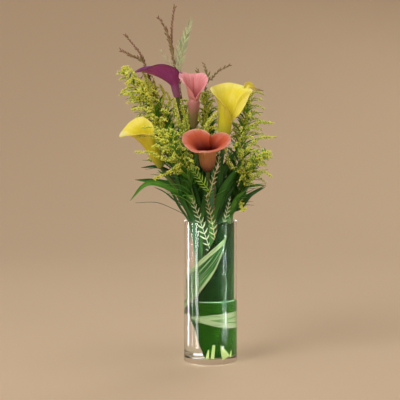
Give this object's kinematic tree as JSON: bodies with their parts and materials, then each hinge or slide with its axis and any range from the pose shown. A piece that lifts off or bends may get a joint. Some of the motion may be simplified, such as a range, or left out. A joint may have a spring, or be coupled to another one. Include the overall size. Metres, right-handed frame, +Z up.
{
  "type": "calla lily flower arrangement in a glass vase",
  "caption": "Calla lilies with goldenrod, toothed fronds and long leaves standing in a clear cylinder vase lined with a coiled striped leaf and part filled with water.",
  "frame": {"origin": "centre of the vase's foot, on the surface that it stands on", "axes": "+Z up along the vase's axis, -Y towards the front of the arrangement, +X to its right"},
  "size_m": [0.2584, 0.1615, 0.5982],
  "materials": {
    "clear_glass": "gloss",
    "water": "gloss",
    "green_stem": "satin",
    "green_leaf": "satin",
    "striped_leaf": "satin",
    "spadix": "matte",
    "goldenrod_flowers": "matte",
    "woody_sprig": "matte",
    "silver_frond": "matte",
    "tan_frond": "matte",
    "coral_spathe": "satin",
    "pink_spathe": "satin",
    "yellow_spathe": "satin",
    "purple_spathe": "satin"
  },
  "bodies": {
    "root": {"broad_dark_leaf": "green_leaf", "centre_leaf_1": "green_leaf", "centre_leaf_2": "green_leaf", "centre_leaf_3": "green_leaf", "coiled_leaf": "striped_leaf", "coral_calla_spadix": "spadix", "coral_calla_spathe": "coral_spathe", "coral_calla_stem": "green_stem", "cylinder_vase": "clear_glass", "goldenrod_1_plume": "goldenrod_flowers", "goldenrod_1_stem": "green_stem", "goldenrod_2_plume": "goldenrod_flowers", "goldenrod_2_stem": "green_stem", "goldenrod_3_plume": "goldenrod_flowers", "goldenrod_3_stem": "green_stem", "goldenrod_4_plume": "goldenrod_flowers", "goldenrod_4_stem": "green_stem", "goldenrod_5_plume": "goldenrod_flowers", "goldenrod_5_stem": "green_stem", "goldenrod_6_plume": "goldenrod_flowers", "goldenrod_6_stem": "green_stem", "goldenrod_7_plume": "goldenrod_flowers", "goldenrod_7_stem": "green_stem", "goldenrod_8_plume": "goldenrod_flowers", "goldenrod_8_stem": "green_stem", "left_brown_sprig": "woody_sprig", "left_grass_leaf": "green_leaf", "left_leaf_1": "green_leaf", "left_leaf_2": "green_leaf", "left_leaf_3": "green_leaf", "left_leaf_4": "green_leaf", "lining_leaf": "green_leaf", "needle_sprig": "green_leaf", "pale_frond_left": "silver_frond", "pink_calla_spadix": "spadix", "pink_calla_spathe": "pink_spathe", "pink_calla_stem": "green_stem", "purple_calla_spadix": "spadix", "purple_calla_spathe": "purple_spathe", "purple_calla_stem": "green_stem", "right_green_sprig": "woody_sprig", "right_leaf_1": "green_leaf", "right_leaf_2": "green_leaf", "right_leaf_3": "green_leaf", "right_leaf_4": "green_leaf", "rim_pale_frond": "silver_frond", "rim_silver_frond": "silver_frond", "rim_tan_frond": "tan_frond", "silver_frond": "silver_frond", "silver_frond_small": "silver_frond", "silver_stalk": "woody_sprig", "tan_sprig": "tan_frond", "top_brown_sprig": "woody_sprig", "water": "water", "yellow_left_calla_spadix": "spadix", "yellow_left_calla_spathe": "yellow_spathe", "yellow_left_calla_stem": "green_stem", "yellow_right_calla_spadix": "spadix", "yellow_right_calla_spathe": "yellow_spathe", "yellow_right_calla_stem": "green_stem"}
  },
  "joints": []
}
